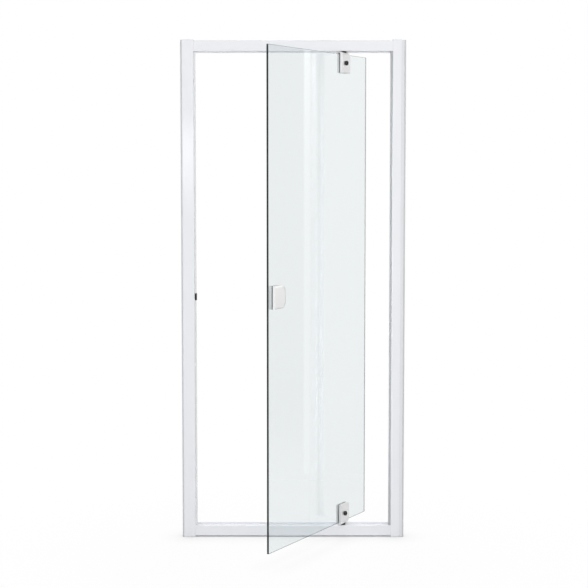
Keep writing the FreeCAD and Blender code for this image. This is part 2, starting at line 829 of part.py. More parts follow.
def make_glass():
    glass = body("door_glass")
    face = sketch(glass, "XZ_Plane")
    top_notch = "glass_top - notch_depth"
    bottom_notch = "glass_bottom + notch_depth"
    outline(
        face,
        [
            ("near_edge", "glass_bottom"),
            ("- notch_near", "glass_bottom"),
            ("- notch_near", bottom_notch),
            ("notch_far", bottom_notch),
            ("notch_far", "glass_bottom"),
            ("far_edge", "glass_bottom"),
            ("far_edge", "glass_top"),
            ("notch_far", "glass_top"),
            ("notch_far", top_notch),
            ("- notch_near", top_notch),
            ("- notch_near", "glass_top"),
            ("near_edge", "glass_top"),
        ],
    )
    circle(face, "pull_middle", "pull_centre_height", "pull_hole_diameter")
    pad(glass, face, "glass_thickness", middle=True)
    edges = [{"x": "near_edge"}, {"x": "far_edge"}, {"z": "glass_top"}, {"z": "glass_bottom"}]
    arrises = [dict(edge, y=side) for edge in edges for side in ("glass_half", "- glass_half")]
    dress(glass, "Chamfer", "glass_arris", *arrises)
    hang(glass)


make_glass()

# Pivot hinges
# Two plates clamp the glass round a core block, and the core's pin turns in a bush in the rail.


def make_plate(label, front, back, outline_box, rounded, sort):
    """A plate between two depths, with rounded corners and a flat bevel that runs round them."""
    plate = body(label)
    low_depth, high_depth = (front, back) if number(front) < number(back) else (back, front)
    face = sketch(plate, "XZ_Plane", minus(low_depth))
    rectangle(face, *outline_box)
    pad(plate, face, f"{high_depth} {minus(low_depth)}", backwards=True)
    for radius, across, up in rounded:
        dress(plate, "Fillet", radius, {"x": across, "z": up})
    near, far = outline_box[:2]
    slope = dress(plate, "Chamfer", f"{sort}_bevel", {"x": far, "y": front})
    slope.ChamferType = "Two distances"
    slope.setExpression("Size2", link(f"{sort}_bevel_width"))
    doc.recompute()
    # the broad side of the bevel belongs on the face, and the narrow one on the rim
    broad_end = {"x": f"{far} - {sort}_bevel_width", "y": front}
    slope.FlipDirection = not any(lies_at(edge, **broad_end) for edge in slope.Shape.Edges)
    doc.recompute()
    dress(plate, "Chamfer", "plate_near_bevel", {"x": near, "y": front})
    hang(plate)
    return plate


def drill(plate, depth, towards_back, across, up, diameter, length):
    """A round hole in a plate, from a depth towards the back or the front of the door."""
    hole = sketch(plate, "XZ_Plane", minus(depth))
    circle(hole, across, up, diameter)
    pocket(plate, hole, length, along_normal=not towards_back)


def clamp_screw(label, seat, across, up, length, sign, sort):
    """A socket head screw through the door; sign says which way along Y its shank runs."""
    if sign == "+":
        shank_start = seat
        head_start = f"{seat} - {sort}_head_height"
        socket_start = head_start
    else:
        shank_start = f"{seat} - {length}"
        head_start = seat
        socket_start = f"{seat} + {sort}_head_height - clamp_screw_socket_depth"
    head = rod(f"{sort}_head_diameter", f"{sort}_head_height", (across, head_start, up), "Y")
    shank = rod("clamp_screw_diameter", length, (across, shank_start, up), "Y")
    socket = hexagon("clamp_screw_socket", "clamp_screw_socket_depth", (across, socket_start, up), "Y")
    hang(piece(less(joined(head, shank), socket), label))


# Each end has its edge of the glass, its rail's face, and the signs that lead out of and into the glass.

HINGE_ENDS = {
    "top": {"edge": "glass_top", "rail": "head_under", "out": "+", "into": "-"},
    "bottom": {"edge": "glass_bottom", "rail": "rail_height", "out": "-", "into": "+"},
}


def hinge_height(end, sign, total):
    """A height at one end, measured from the edge of the glass out of it or into it."""
    return f"{HINGE_ENDS[end]['edge']} {HINGE_ENDS[end][sign]} {total}"


def make_hinge_plates(end):
    outer = hinge_height(end, "out", "plate_past_glass")
    inner = hinge_height(end, "into", "plate_reach")
    box = ("- plate_near", "plate_far", *sorted((inner, outer), key=number))
    rounded = [
        ("plate_outer_corner_radius", "plate_far", outer),
        ("plate_inner_corner_radius", "plate_far", inner),
    ]
    centre = ("- hinge_screw_offset", hinge_height(end, "into", "plate_screw_drop"))
    outer_label, inner_label = f"{end}_hinge_outer_plate", f"{end}_hinge_inner_plate"
    front = make_plate(outer_label, "- plate_face", "- plate_back", box, rounded, "plate")
    drill(front, "- plate_face", True, *centre, "clamp_hole_diameter", "plate_cut")
    drill(front, "- plate_face", True, *centre, "hinge_counterbore_diameter", "hinge_screw_sink")
    rear = make_plate(inner_label, "inner_plate_face", "plate_back", box, rounded, "plate")
    drill(rear, "plate_back", True, *centre, "clamp_hole_diameter", "tip_hole_depth")
    shank = ("hinge_screw_length", "+")
    clamp_screw(f"{end}_hinge_screw", "- hinge_screw_seat", *centre, *shank, "hinge_screw")


def make_hinge_gasket(end, label, front):
    """A thin pad between a hinge plate and the glass, open round the core."""
    gasket = body(label)
    face = sketch(gasket, "XZ_Plane", minus(front))
    edge = HINGE_ENDS[end]["edge"]
    out = HINGE_ENDS[end]["out"]
    bottom = hinge_height(end, "into", f"plate_reach {out} gasket_inset")
    notch = hinge_height(end, "into", "notch_depth")
    outline(
        face,
        [
            ("gasket_inset - plate_near", edge),
            ("- notch_near", edge),
            ("- notch_near", notch),
            ("notch_far", notch),
            ("notch_far", edge),
            ("plate_far - gasket_inset - gasket_corner", edge),
            ("plate_far - gasket_inset", hinge_height(end, "into", "gasket_corner")),
            ("plate_far - gasket_inset", f"{bottom} {out} plate_inner_corner_radius"),
            ("plate_far - gasket_inset - plate_inner_corner_radius", bottom),
            ("gasket_inset - plate_near", bottom),
        ],
    )
    pad(gasket, face, "gasket_thickness", backwards=True)
    hang(gasket)


def make_hinge_core(end):
    """The block in the notch of the glass, with a cross hole for the screw and a blind hole for the pin."""
    core = body(f"{end}_hinge_core")
    face = sketch(core, "XZ_Plane")
    outer = hinge_height(end, "out", "plate_past_glass")
    inner = hinge_height(end, "into", "core_end")
    rectangle(face, "- core_near", "core_far", *sorted((inner, outer), key=number))
    pad(core, face, "core_thickness", middle=True)
    screw_place = ("- hinge_screw_offset", hinge_height(end, "into", "plate_screw_drop"))
    drill(core, "- plate_back", True, *screw_place, "clamp_hole_diameter", "core_thickness")
    pin_hole = sketch(core, "XY_Plane", outer)
    circle(pin_hole, "0", "0", "pin_hole_diameter")
    pocket(core, pin_hole, "pin_shank_depth", along_normal=HINGE_ENDS[end]["out"] == "-")
    hang(core)


def pivot_rod(end, diameter, length, start):
    """A rod on the pivot that runs from start towards the rail."""
    begin = start if HINGE_ENDS[end]["out"] == "+" else f"{start} - {length}"
    return rod(diameter, length, ("0", "0", begin))


def make_hinge_pin(end):
    outer = hinge_height(end, "out", "plate_past_glass")
    foot = f"{outer} {HINGE_ENDS[end]['into']} pin_shank_depth"
    shank = pivot_rod(end, "pin_shank_diameter", "pin_shank_depth", foot)
    journal = pivot_rod(end, "pin_diameter", f"{end}_pin_length", outer)
    hang(piece(joined(shank, journal), f"{end}_hinge_pin"))
    disc = pivot_rod(end, "washer_diameter", "washer_thickness", outer)
    hole = pivot_rod(end, "washer_bore", "washer_thickness", outer)
    hang(piece(less(disc, hole), f"{end}_hinge_washer"))


def make_pivot_bush(end):
    """A flanged bush through the rail's wall, and the block inside the rail that it is screwed into."""
    rail = HINGE_ENDS[end]["rail"]
    out = HINGE_ENDS[end]["out"]
    below_flange = f"plate_past_glass {out} washer_thickness {out} thrust_clearance"
    flange_start = hinge_height(end, "out", below_flange)
    flange = pivot_rod(end, "bush_flange_diameter", f"{end}_flange", flange_start)
    barrel = pivot_rod(end, "bush_diameter", "bush_depth", rail)
    flange_bore = pivot_rod(end, "bush_bore", f"{end}_flange", flange_start)
    barrel_bore = pivot_rod(end, "bush_bore", "bush_depth", rail)
    bush = less(joined(flange, barrel), joined(flange_bore, barrel_bore))
    piece(bush, f"{end}_pivot_bush").setExpression("Placement.Base.x", link("pivot_place"))

    block = body(f"{end}_pivot_block")
    plan = sketch(block, "XY_Plane", f"{rail} {out} frame_wall")
    rectangle(plan, "- block_half_length", "block_half_length", "- block_half_depth", "block_half_depth")
    circle(plan, "0", "0", "bush_hole_diameter")
    pad(block, plan, "block_height", backwards=out == "-")
    block.setExpression("Placement.Base.x", link("pivot_place"))


for hinge_end in HINGE_ENDS:
    make_hinge_plates(hinge_end)
    make_hinge_gasket(hinge_end, f"{hinge_end}_hinge_outer_gasket", "- plate_back")
    make_hinge_gasket(hinge_end, f"{hinge_end}_hinge_inner_gasket", "glass_half")
    make_hinge_core(hinge_end)
    make_hinge_pin(hinge_end)
    make_pivot_bush(hinge_end)

# Pull
# A D-shaped plate on each side of the glass, held by one screw from the inside.


def make_pull():
    box = ("pull_near", "pull_far", "pull_bottom", "pull_top")
    rounded = [("pull_corner_radius", "pull_far", height) for height in ("pull_top", "pull_bottom")]
    centre = ("pull_middle", "pull_centre_height")
    outside = make_plate("pull_outer_plate", "- pull_face", "- plate_back", box, rounded, "pull")
    drill(outside, "- plate_back", False, *centre, "clamp_hole_diameter", "tip_hole_depth")
    inside = make_plate("pull_inner_plate", "inner_pull_face", "plate_back", box, rounded, "pull")
    drill(inside, "inner_pull_face", False, *centre, "clamp_hole_diameter", "pull_cut")
    drill(inside, "inner_pull_face", False, *centre, "counterbore_diameter", "clamp_screw_head_height")
    clamp_screw("pull_screw", "pull_screw_seat", *centre, "pull_screw_length", "-", "clamp_screw")
    for label, front in (("pull_outer_gasket", "- plate_back"), ("pull_inner_gasket", "glass_half")):
        gasket = body(label)
        face = sketch(gasket, "XZ_Plane", minus(front))
        rectangle(
            face,
            "pull_near + gasket_inset",
            "pull_far - gasket_inset",
            "pull_bottom + gasket_inset",
            "pull_top - gasket_inset",
        )
        circle(face, *centre, "clamp_hole_diameter")
        pad(gasket, face, "gasket_thickness", backwards=True)
        ends = [
            {"x": "pull_far - gasket_inset", "z": "pull_top - gasket_inset"},
            {"x": "pull_far - gasket_inset", "z": "pull_bottom + gasket_inset"},
        ]
        dress(gasket, "Fillet", "pull_corner_radius", *ends)
        hang(gasket)
    low_end = ("pull_middle", "- glass_half", "pull_centre_height")
    tube = rod("sleeve_diameter", "glass_thickness", low_end, "Y")
    hole = rod("clamp_hole_diameter", "glass_thickness", low_end, "Y")
    hang(piece(less(tube, hole), "pull_sleeve"))


make_pull()

# Checks, then one file for each sub-part

doc.recompute()
for made in doc.Objects:
    if "Invalid" in made.State or "Error" in made.State:
        raise RuntimeError(f"{made.Label}: {made.State}")
for made in pieces:
    if made.Shape.isNull() or not made.Shape.isValid() or not made.Shape.Solids:
        raise RuntimeError(f"{made.Label}: not a sound solid")

os.makedirs("parts", exist_ok=True)
for made in pieces:
    made.Shape.exportStep(f"parts/{made.Label}.step")
    box = made.Shape.BoundBox
    print(f"{made.Label}: {len(made.Shape.Solids)} solids, {made.Shape.Volume:.0f} mm3, {box}")
print(len(pieces), "sub-parts")
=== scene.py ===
# %% [markdown]
# A framed shower door, dressed for its picture.
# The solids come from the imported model: a white frame, a pane of glass that stands open on two
# pivots, bright hinge plates and a bright pull. This lesson gives each of them its finish and
# builds a small photo studio around them. Nothing here moves or reshapes the solids.

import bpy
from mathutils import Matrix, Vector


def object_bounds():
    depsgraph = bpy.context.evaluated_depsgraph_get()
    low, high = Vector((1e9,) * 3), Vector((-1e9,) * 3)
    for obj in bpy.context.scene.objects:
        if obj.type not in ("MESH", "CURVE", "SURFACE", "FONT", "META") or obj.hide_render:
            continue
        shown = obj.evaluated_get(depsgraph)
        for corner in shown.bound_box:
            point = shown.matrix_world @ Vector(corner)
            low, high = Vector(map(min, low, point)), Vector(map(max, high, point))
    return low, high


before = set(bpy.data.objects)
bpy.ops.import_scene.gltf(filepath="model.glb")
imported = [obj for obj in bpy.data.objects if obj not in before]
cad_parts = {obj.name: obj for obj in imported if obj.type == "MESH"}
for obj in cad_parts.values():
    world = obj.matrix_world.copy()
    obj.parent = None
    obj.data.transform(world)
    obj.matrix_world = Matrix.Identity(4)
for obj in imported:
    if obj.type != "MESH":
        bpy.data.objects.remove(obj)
solid_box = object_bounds()

# %% [markdown]
# Blender's own modules come next. `bpy` is the door to everything in the file, `mathutils` gives
# vectors, and `math` turns degrees into the radians that Blender expects.

# %% Blender's modules and the picture's colours
import math

import bpy
from mathutils import Vector

scene = bpy.context.scene
scene.view_settings.view_transform = "Standard"
print("colours are shown as", scene.view_settings.view_transform)

# %% [markdown]
# The camera stands where the photographer stood: a little under six metres away and at chest
# height, looking slightly down. A camera can also be found by eye, but here its place follows from
# the pane: its open edge looks taller than its far edge, and that ratio gives the distance.
# A small shift lifts the picture without tilting the camera any further.

# %% Place the camera
CAMERA_PLACE = (-0.0088, -5.810, 1.491)
CAMERA_DIP = math.radians(4.303)
CAMERA_LENS_MM = 88.78
CAMERA_SHIFT = (0.0052, -0.03)
SENSOR_WIDTH_MM = 36.0

lens = bpy.data.cameras.new("studio_camera")
lens.lens = CAMERA_LENS_MM
lens.sensor_width = SENSOR_WIDTH_MM
lens.shift_x, lens.shift_y = CAMERA_SHIFT
camera = bpy.data.objects.new("studio_camera", lens)
camera.location = CAMERA_PLACE
camera.rotation_euler = (math.pi / 2 - CAMERA_DIP, 0.0, 0.0)
scene.collection.objects.link(camera)
scene.camera = camera
print("camera stands", round(camera.location.length, 2), "m from the door")

# %% [markdown]
# Materials are built from nodes. Three small helpers keep the cells short: one adds a node and sets
# its properties and inputs, one joins an output to an input, and one writes a grey as a colour.

# %% Node helpers
def add_node(tree, kind, values=None, **settings):
    """A new node of this kind, with its properties and the plain values of its inputs set."""
    node = tree.nodes.new(kind)
    for name, value in settings.items():
        setattr(node, name, value)
    for socket, value in (values or {}).items():
        node.inputs[socket].default_value = value
    return node


def join(tree, source, target):
    """One wire from an output to an input."""
    tree.links.new(source, target)


def grey(level):
    """A colour with the same red, green and blue."""
    return (level, level, level, 1.0)


# %% [markdown]
# A Light Path node tells what kind of ray asks for a colour, and the studio answers each kind in its
# own way. Three small functions sort the rays: those that are seen at all, those that came off a
# mirror, and those that run straight from the camera, also through the pane.

# %% Sort the rays
def seen_ray(tree):
    """An output that is 1 for camera, mirror and glass rays, and 0 for rays that carry soft light."""
    path = add_node(tree, "ShaderNodeLightPath")
    mirror = add_node(tree, "ShaderNodeMath", operation="MAXIMUM")
    join(tree, path.outputs["Is Camera Ray"], mirror.inputs[0])
    join(tree, path.outputs["Is Glossy Ray"], mirror.inputs[1])
    through = add_node(tree, "ShaderNodeMath", operation="MAXIMUM")
    join(tree, mirror.outputs[0], through.inputs[0])
    join(tree, path.outputs["Is Transmission Ray"], through.inputs[1])
    return through.outputs[0]


def mirrored_ray(tree):
    """An output that is 1 for a ray that some surface has mirrored since it left the camera."""
    path = add_node(tree, "ShaderNodeLightPath")
    mirrored = add_node(tree, "ShaderNodeMath", {1: 0.5}, operation="GREATER_THAN")
    join(tree, path.outputs["Glossy Depth"], mirrored.inputs[0])
    return mirrored.outputs[0]


def straight_ray(tree):
    """An output that is 1 for a ray that the camera sees directly or straight through the pane."""
    straight = add_node(tree, "ShaderNodeMath", operation="SUBTRACT", use_clamp=True)
    join(tree, seen_ray(tree), straight.inputs[0])
    join(tree, mirrored_ray(tree), straight.inputs[1])
    return straight.outputs[0]


# %% [markdown]
# The studio is white, with grey walls far out on both sides. Grey sides are an old trick for white
# things: they draw a soft dark line along each rounded edge. Rays straight from the camera see plain
# white all round. Mirrored rays see the grey sides too, and soft light comes from a dimmer white
# with the same sides.

# %% Light the world
FILL_LEVEL = 0.54
BACKDROP_LEVEL = 1.0
SIDES_START = 0.70
SIDE_SHARE = 0.38


def wall_share(tree, direction):
    """An output that is 1 in the middle of the studio and falls to the tone of the grey sides."""
    split = add_node(tree, "ShaderNodeSeparateXYZ")
    sideways = add_node(tree, "ShaderNodeMath", operation="ABSOLUTE")
    wall = add_node(tree, "ShaderNodeMapRange", {
        "From Min": SIDES_START, "From Max": 1.0, "To Min": 1.0, "To Max": SIDE_SHARE})
    join(tree, direction, split.inputs[0])
    join(tree, split.outputs["X"], sideways.inputs[0])
    join(tree, sideways.outputs[0], wall.inputs["Value"])
    return wall.outputs["Result"]


world = bpy.data.worlds.new("white_studio")
world.use_nodes = True
scene.world = world
tree = world.node_tree
tree.nodes.clear()
where = add_node(tree, "ShaderNodeTexCoord")
level = add_node(tree, "ShaderNodeMix", {"A": FILL_LEVEL, "B": BACKDROP_LEVEL}, data_type="FLOAT")
grey_sides = add_node(tree, "ShaderNodeMath", operation="MULTIPLY")
strength = add_node(tree, "ShaderNodeMix", {"B": BACKDROP_LEVEL}, data_type="FLOAT")
studio = add_node(tree, "ShaderNodeBackground", {"Color": grey(1.0)})
sky = add_node(tree, "ShaderNodeOutputWorld")
join(tree, seen_ray(tree), level.inputs["Factor"])
join(tree, level.outputs["Result"], grey_sides.inputs[0])
join(tree, wall_share(tree, where.outputs["Generated"]), grey_sides.inputs[1])
join(tree, straight_ray(tree), strength.inputs["Factor"])
join(tree, grey_sides.outputs[0], strength.inputs["A"])
join(tree, strength.outputs["Result"], studio.inputs["Strength"])
join(tree, studio.outputs[0], sky.inputs["Surface"])
print("the world fills at", FILL_LEVEL, "and shows", BACKDROP_LEVEL)

# %% [markdown]
# The floor is one big flat board just under the sill. Four corners and one face are all it needs, so
# the mesh is written out directly. It belongs to the studio and not to the door.

# %% Lay the floor
FLOOR_HALF_SIZE = 40.0
FLOOR_DROP = 0.0015

floor_height = solid_box[0].z - FLOOR_DROP
corners = [(x * FLOOR_HALF_SIZE, y * FLOOR_HALF_SIZE, floor_height)
           for x, y in ((-1, -1), (1, -1), (1, 1), (-1, 1))]
board = bpy.data.meshes.new("floor_board")
board.from_pydata(corners, [], [(0, 1, 2, 3)])
floor = bpy.data.objects.new("floor_board", board)
scene.collection.objects.link(floor)
print("floor lies at", round(floor_height, 4), "m")

# %% [markdown]
# The board is matt white. A lit white board photographs as a pale grey, so for the camera it is mixed
# with plain white. The share of white grows with the distance from a point before the door, so the
# soft shadow shows in front and the board runs into the white backdrop without an edge. Mirrors see
# mostly the lit board near the door, and plain white only further out.

# %% The floor's share of white
WHITE_CENTRE = (0.0, -0.35, 0.0)
WHITE_NEAR, WHITE_FAR = 0.955, 1.0
WHITE_STARTS, WHITE_ENDS = 0.5, 1.4
MIRRORED_NEAR, MIRRORED_FAR = 0.16, 1.0
MIRRORED_STARTS, MIRRORED_ENDS = 1.6, 5.0

board_finish = bpy.data.materials.new("floor_board")
board_finish.use_nodes = True
tree = board_finish.node_tree
tree.nodes.clear()
place = add_node(tree, "ShaderNodeTexCoord")
distance = add_node(tree, "ShaderNodeVectorMath", {1: WHITE_CENTRE}, operation="DISTANCE")
ramp = add_node(tree, "ShaderNodeMapRange", {
    "From Min": WHITE_STARTS, "From Max": WHITE_ENDS, "To Min": WHITE_NEAR, "To Max": WHITE_FAR})
mirror_ramp = add_node(tree, "ShaderNodeMapRange", {
    "From Min": MIRRORED_STARTS, "From Max": MIRRORED_ENDS,
    "To Min": MIRRORED_NEAR, "To Max": MIRRORED_FAR})
in_mirror = add_node(tree, "ShaderNodeMath", operation="MULTIPLY")
weight = add_node(tree, "ShaderNodeMath", operation="MAXIMUM")
only_seen = add_node(tree, "ShaderNodeMath", operation="MULTIPLY")
join(tree, place.outputs["Object"], distance.inputs[0])
join(tree, distance.outputs["Value"], ramp.inputs["Value"])
join(tree, distance.outputs["Value"], mirror_ramp.inputs["Value"])
join(tree, seen_ray(tree), in_mirror.inputs[0])
join(tree, mirror_ramp.outputs["Result"], in_mirror.inputs[1])
join(tree, straight_ray(tree), weight.inputs[0])
join(tree, in_mirror.outputs[0], weight.inputs[1])
join(tree, ramp.outputs["Result"], only_seen.inputs[0])
join(tree, weight.outputs[0], only_seen.inputs[1])
print("near the door the camera sees", WHITE_NEAR, "of plain white and a mirror", MIRRORED_NEAR)

# %% [markdown]
# Two more things shape the white. An Ambient Occlusion node takes it away in narrow gaps, so the dark
# line under the sill stays. In a mirror it takes on the tone of the wall behind it, little by little
# with the distance, so that floor and wall meet there without a line.

# %% The floor's gaps and its tone in a mirror
FLOOR_TONE = 0.86
GAP_REACH = 0.12
GAP_POWER = 0.9
GAP_SAMPLES = 16
WALL_STARTS, WALL_ENDS = 0.5, 2.8

gap = add_node(tree, "ShaderNodeAmbientOcclusion", {"Distance": GAP_REACH}, samples=GAP_SAMPLES)
deep = add_node(tree, "ShaderNodeMath", {1: GAP_POWER}, operation="POWER")
not_in_gaps = add_node(tree, "ShaderNodeMath", operation="MULTIPLY")
heading = add_node(tree, "ShaderNodeVectorMath", operation="NORMALIZE")
wall_ramp = add_node(tree, "ShaderNodeMapRange", {"From Min": WALL_STARTS, "From Max": WALL_ENDS})
wall_tone = add_node(tree, "ShaderNodeMix", {"A": BACKDROP_LEVEL}, data_type="FLOAT")
tone = add_node(tree, "ShaderNodeMix", {"B": BACKDROP_LEVEL}, data_type="FLOAT")
matt = add_node(tree, "ShaderNodeBsdfDiffuse", {"Color": grey(FLOOR_TONE)})
white = add_node(tree, "ShaderNodeEmission", {"Color": grey(1.0)})
both = add_node(tree, "ShaderNodeMixShader")
out = add_node(tree, "ShaderNodeOutputMaterial")
join(tree, gap.outputs["AO"], deep.inputs[0])
join(tree, only_seen.outputs[0], not_in_gaps.inputs[0])
join(tree, deep.outputs[0], not_in_gaps.inputs[1])
join(tree, place.outputs["Object"], heading.inputs[0])
join(tree, distance.outputs["Value"], wall_ramp.inputs["Value"])
join(tree, wall_ramp.outputs["Result"], wall_tone.inputs["Factor"])
join(tree, wall_share(tree, heading.outputs["Vector"]), wall_tone.inputs["B"])
join(tree, straight_ray(tree), tone.inputs["Factor"])
join(tree, wall_tone.outputs["Result"], tone.inputs["A"])
join(tree, tone.outputs["Result"], white.inputs["Strength"])
join(tree, not_in_gaps.outputs[0], both.inputs[0])
join(tree, matt.outputs[0], both.inputs[1])
join(tree, white.outputs[0], both.inputs[2])
join(tree, both.outputs[0], out.inputs["Surface"])
board.materials.append(board_finish)
print("floor finish has", len(tree.nodes), "nodes")

# %% [markdown]
# One big soft lamp hangs above the camera. It is as large as a door itself, so its shadows have no
# hard edge. A weaker one behind the door keeps the back of the frame white. Another hangs high up
# and lights the floor, which throws some of it back at the frame. Two strip lamps in the doorway
# light what faces into it: an upright one the inner side of the hinge jamb, which the pane mirrors,
# and a small level one the top of the sill. Their beams are narrow. No ray sees the lamps themselves,
# because their squares would show in the paint; the reflections get cards of their own further down.

# %% Hang the lamps
FRONT_PLACE = Vector((0.25, -5.0, 2.35))
DOOR_MIDDLE = Vector((0.0, 0.0, 1.1))
BACK_PLACE = Vector((-0.3, 4.5, 2.6))
STRIP_PLACE = Vector((-0.36, 0.0, 1.0))
STRIP_AIM = Vector((0.395, 0.0, 1.0))
TOP_PLACE = Vector((0.0, 1.0, 4.0))
TOP_AIM = Vector((0.0, 1.0, 0.0))
SILL_PLACE = Vector((0.0, -0.01, 0.5))
SILL_AIM = Vector((0.0, -0.01, 0.0))


def soft_lamp(name, place, aim, width, height, power, beam=180.0):
    """A flat lamp that shines from its place towards the aim and is never seen itself."""
    light = bpy.data.lights.new(name, "AREA")
    light.shape = "RECTANGLE"
    light.size, light.size_y = width, height
    light.energy = power
    light.spread = math.radians(beam)
    lamp = bpy.data.objects.new(name, light)
    lamp.location = place
    lamp.rotation_euler = (aim - place).to_track_quat("-Z", "Y").to_euler()
    for sort in ("camera", "glossy", "transmission"):
        setattr(lamp, "visible_" + sort, False)
    scene.collection.objects.link(lamp)
    print(name, "is", round((aim - place).length, 2), "m from its aim")


soft_lamp("front_lamp", FRONT_PLACE, DOOR_MIDDLE, width=2.6, height=2.6, power=111.0)
soft_lamp("back_lamp", BACK_PLACE, DOOR_MIDDLE, width=2.6, height=2.6, power=60.0)
soft_lamp("strip_lamp", STRIP_PLACE, STRIP_AIM, width=0.02, height=1.66, power=1.6, beam=60.0)
soft_lamp("top_lamp", TOP_PLACE, TOP_AIM, width=2.0, height=2.0, power=25.0)
soft_lamp("sill_lamp", SILL_PLACE, SILL_AIM, width=0.74, height=0.01, power=0.022, beam=10.0)

# %% [markdown]
# A pane of glass only shows what it mirrors, so a photographer puts cards beside it. A card here
# is a plane that glows for mirrored rays and is clear for all others: it gives a reflection, adds
# no light and never shows itself. The glow can change along the card's height, because the streak
# in the pane is strongest at the top. The edges of a card can be blurred: a soft patch in the pane
# looks like a studio, a sharp rectangle looks like a mistake.

# %% Soft edges for a card
def soft_edges(tree, value, middle, size, blur):
    """An output that is 1 within this size around the middle and falls to 0 across the blur."""
    offset = add_node(tree, "ShaderNodeMath", {1: middle}, operation="SUBTRACT")
    away = add_node(tree, "ShaderNodeMath", operation="ABSOLUTE")
    edge = add_node(tree, "ShaderNodeMapRange", {
        "From Min": (size - blur) / 2, "From Max": (size + blur) / 2, "To Min": 1.0, "To Max": 0.0},
        interpolation_type="SMOOTHSTEP")
    join(tree, value, offset.inputs[0])
    join(tree, offset.outputs[0], away.inputs[0])
    join(tree, away.outputs[0], edge.inputs["Value"])
    return edge.outputs["Result"]


# %% [markdown]
# The material of a card does three things. Its glow runs from a bottom value to a top value, and a
# high curve brings that change late, near the top. The soft edges fade it out on all four sides.
# Last, the kind of ray chooses between the glow and nothing at all.

# %% The glow of a card
def card_glow(name, middle, across, width, height, top, bottom, curve, blur):
    """A material that glows for mirrored rays and is clear for all others."""
    glow = bpy.data.materials.new(name)
    glow.use_nodes = True
    tree = glow.node_tree
    tree.nodes.clear()
    where = add_node(tree, "ShaderNodeTexCoord")
    split = add_node(tree, "ShaderNodeSeparateXYZ")
    rise = add_node(tree, "ShaderNodeMapRange", {
        "From Min": middle.z - height / 2, "From Max": middle.z + height / 2})
    late = add_node(tree, "ShaderNodeMath", {1: curve}, operation="POWER")
    fade = add_node(tree, "ShaderNodeMapRange", {"To Min": bottom, "To Max": top})
    along = add_node(tree, "ShaderNodeVectorMath", {1: across}, operation="DOT_PRODUCT")
    shape = add_node(tree, "ShaderNodeMath", operation="MULTIPLY")
    shown = add_node(tree, "ShaderNodeMath", operation="MULTIPLY")
    light = add_node(tree, "ShaderNodeEmission", {"Color": grey(1.0)})
    nothing = add_node(tree, "ShaderNodeBsdfTransparent")
    choice = add_node(tree, "ShaderNodeMixShader")
    out = add_node(tree, "ShaderNodeOutputMaterial")
    join(tree, where.outputs["Object"], split.inputs[0])
    join(tree, split.outputs["Z"], rise.inputs["Value"])
    join(tree, rise.outputs["Result"], late.inputs[0])
    join(tree, late.outputs[0], fade.inputs["Value"])
    join(tree, fade.outputs["Result"], light.inputs["Strength"])
    join(tree, where.outputs["Object"], along.inputs[0])
    left_right = soft_edges(tree, along.outputs["Value"], middle.dot(across), width, blur[0])
    up_down = soft_edges(tree, split.outputs["Z"], middle.z, height, blur[1])
    join(tree, left_right, shape.inputs[0])
    join(tree, up_down, shape.inputs[1])
    join(tree, mirrored_ray(tree), shown.inputs[0])
    join(tree, shape.outputs[0], shown.inputs[1])
    join(tree, shown.outputs[0], choice.inputs[0])
    join(tree, nothing.outputs[0], choice.inputs[1])
    join(tree, light.outputs[0], choice.inputs[2])
    join(tree, choice.outputs[0], out.inputs["Surface"])
    return glow


# %% [markdown]
# The card itself is four corners and one face, and it stands upright. Half of the blur lies outside
# the card's own size, so the face reaches that much further.

# %% Stand a card up
CRISP = (0.004, 0.004)
UP = Vector((0.0, 0.0, 1.0))


def card(name, centre, facing, width, height, top, bottom, curve=1.0, blur=CRISP):
    """An upright card that faces this way. The blur of its edges is given across and up."""
    middle = Vector(centre)
    across = UP.cross(Vector(facing)).normalized()
    side = across * (width + blur[0]) / 2
    half = UP * (height + blur[1]) / 2
    points = [middle - side - half, middle + side - half, middle + side + half, middle - side + half]
    mesh = bpy.data.meshes.new(name)
    mesh.from_pydata([tuple(point) for point in points], [], [(0, 1, 2, 3)])
    mesh.materials.append(card_glow(name, middle, across, width, height, top, bottom, curve, blur))
    plane = bpy.data.objects.new(name, mesh)
    scene.collection.objects.link(plane)
    for sort in ("camera", "diffuse", "shadow", "volume_scatter"):
        setattr(plane, "visible_" + sort, False)
    print(name, "is", width, "m wide and", height, "m high")


# %% [markdown]
# Which way the pane faces decides how its cards are turned. The largest flat piece of its mesh gives
# that direction. A view straight ahead, mirrored there, then tells where the pane looks.

# %% Measure the pane
AHEAD = Vector((0.0, 1.0, 0.0))

pane_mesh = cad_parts["door_glass"].data
pane_face = max(pane_mesh.polygons, key=lambda piece: piece.area).normal.copy()
pane_view = AHEAD.reflect(pane_face)
print("the pane faces", [round(v, 3) for v in pane_face],
      "and looks towards", [round(v, 3) for v in pane_view])

# %% [markdown]
# Two cards stand to the right behind the door, where the open pane looks: a narrow bright one for
# the streak and a wide faint one beside it. Their places are easiest to find in the mirror: choose
# the place in the picture, and fold it back across the plane of the pane. The plates lie along the
# pane, and their haze takes in a wider field, so a card of their own stands just beside that field,
# bright at the top for the upper bevels. A grey card further back darkens the bevels towards the
# hinge. One stands left in front for the narrow sides of the plates. A card left of the camera gives
# the gleam on the strike post, and one right of the door glints on the jamb that the pane mirrors.

